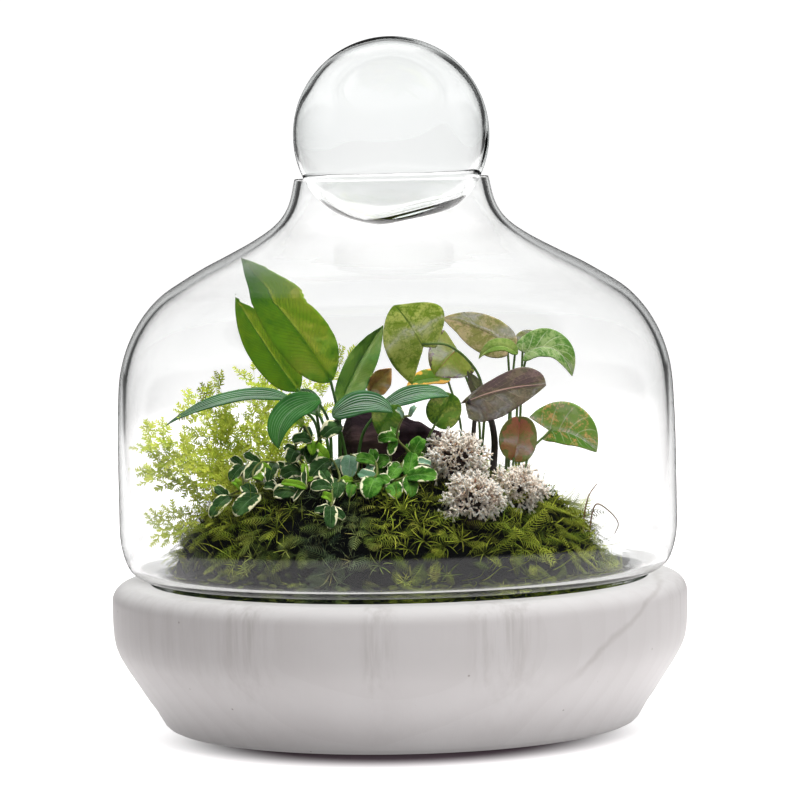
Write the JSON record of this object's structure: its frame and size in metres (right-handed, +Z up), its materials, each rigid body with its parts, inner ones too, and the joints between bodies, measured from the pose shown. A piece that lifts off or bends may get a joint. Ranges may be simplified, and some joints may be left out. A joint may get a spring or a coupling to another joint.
{
  "type": "glass plant terrarium",
  "caption": "Round glass dome closed by a hollow glass ball, standing in a white turned wooden bowl planted with moss, small leafy plants, lichen and driftwood.",
  "frame": {"origin": "middle of the bowl's flat foot, on the surface it stands on", "axes": "+Z up along the axis of the bowl and dome; -Y faces the viewer of the picture; +X to their right"},
  "size_m": [0.32, 0.32, 0.3822],
  "materials": {
    "limewashed_wood": "white limewash rubbed over a fine grain, satin",
    "dome_glass": "clear blown glass, gloss",
    "ball_glass": "clear blown glass, gloss",
    "potting_soil": "damp dark potting soil",
    "moss": "feathery sheet moss, matt",
    "bark": "dark weathered bark, matt",
    "lichen": "dry pinkish grey lichen, matt",
    "lily_leaf": "fresh green leaf, satin",
    "lily_leaf_dark": "dark green leaf with a pale sheen, satin",
    "vine_leaf": "olive leaf mottled with yellow, satin",
    "vine_leaf_lime": "lime green leaf, satin",
    "vine_leaf_green": "green leaf with pale veins, satin",
    "vine_leaf_dark": "purple brown leaf with a pink midrib, satin",
    "vine_leaf_rosy": "olive leaf with a rosy middle, satin",
    "fig_leaf": "blue green leaf with a cream edge, satin",
    "fig_leaf_bright": "bright green leaf, gloss",
    "spikemoss": "yellow green leaflets, matt",
    "dry_plant": "dry tan leaf and stalk, matt"
  },
  "bodies": {
    "root": {"base_bowl": "limewashed_wood", "glass_dome": "dome_glass", "glass_ball": "ball_glass", "soil": "potting_soil", "moss_mound": "moss", "driftwood": "bark", "lichen_clump_1": "lichen", "lichen_clump_2": "lichen", "lichen_clump_3": "lichen", "lily_leaf_1": "lily_leaf", "lily_leaf_2": "lily_leaf", "lily_leaf_3": "lily_leaf", "lily_leaf_4": "lily_leaf_dark", "lily_leaf_5": "lily_leaf_dark", "lily_leaf_6": "lily_leaf_dark", "lily_leaf_7": "lily_leaf_dark", "lily_leaf_8": "lily_leaf_dark", "vine_leaf_1": "vine_leaf", "vine_leaf_2": "vine_leaf", "vine_leaf_3": "vine_leaf", "vine_leaf_4": "vine_leaf_lime", "vine_leaf_5": "vine_leaf", "vine_leaf_6": "vine_leaf_green", "vine_leaf_7": "vine_leaf_dark", "vine_leaf_8": "vine_leaf_rosy", "vine_leaf_9": "vine_leaf_lime", "vine_leaf_10": "vine_leaf_lime", "vine_leaf_11": "vine_leaf_green", "vine_leaf_12": "vine_leaf_green", "vine_leaf_13": "vine_leaf_dark", "fig_stem_1": "fig_leaf", "fig_stem_2": "fig_leaf", "fig_stem_3": "fig_leaf", "fig_stem_4": "fig_leaf", "fig_stem_5": "fig_leaf", "fig_stem_6": "fig_leaf_bright", "fig_stem_7": "fig_leaf_bright", "fig_stem_8": "fig_leaf_bright", "spikemoss_spray_1": "spikemoss", "spikemoss_spray_2": "spikemoss", "spikemoss_spray_3": "spikemoss", "spikemoss_spray_4": "spikemoss", "spikemoss_spray_5": "spikemoss", "spikemoss_spray_6": "spikemoss", "spikemoss_spray_7": "spikemoss", "dry_leaf": "dry_plant", "dry_tendril_1": "dry_plant", "dry_tendril_2": "dry_plant"}
  },
  "joints": []
}
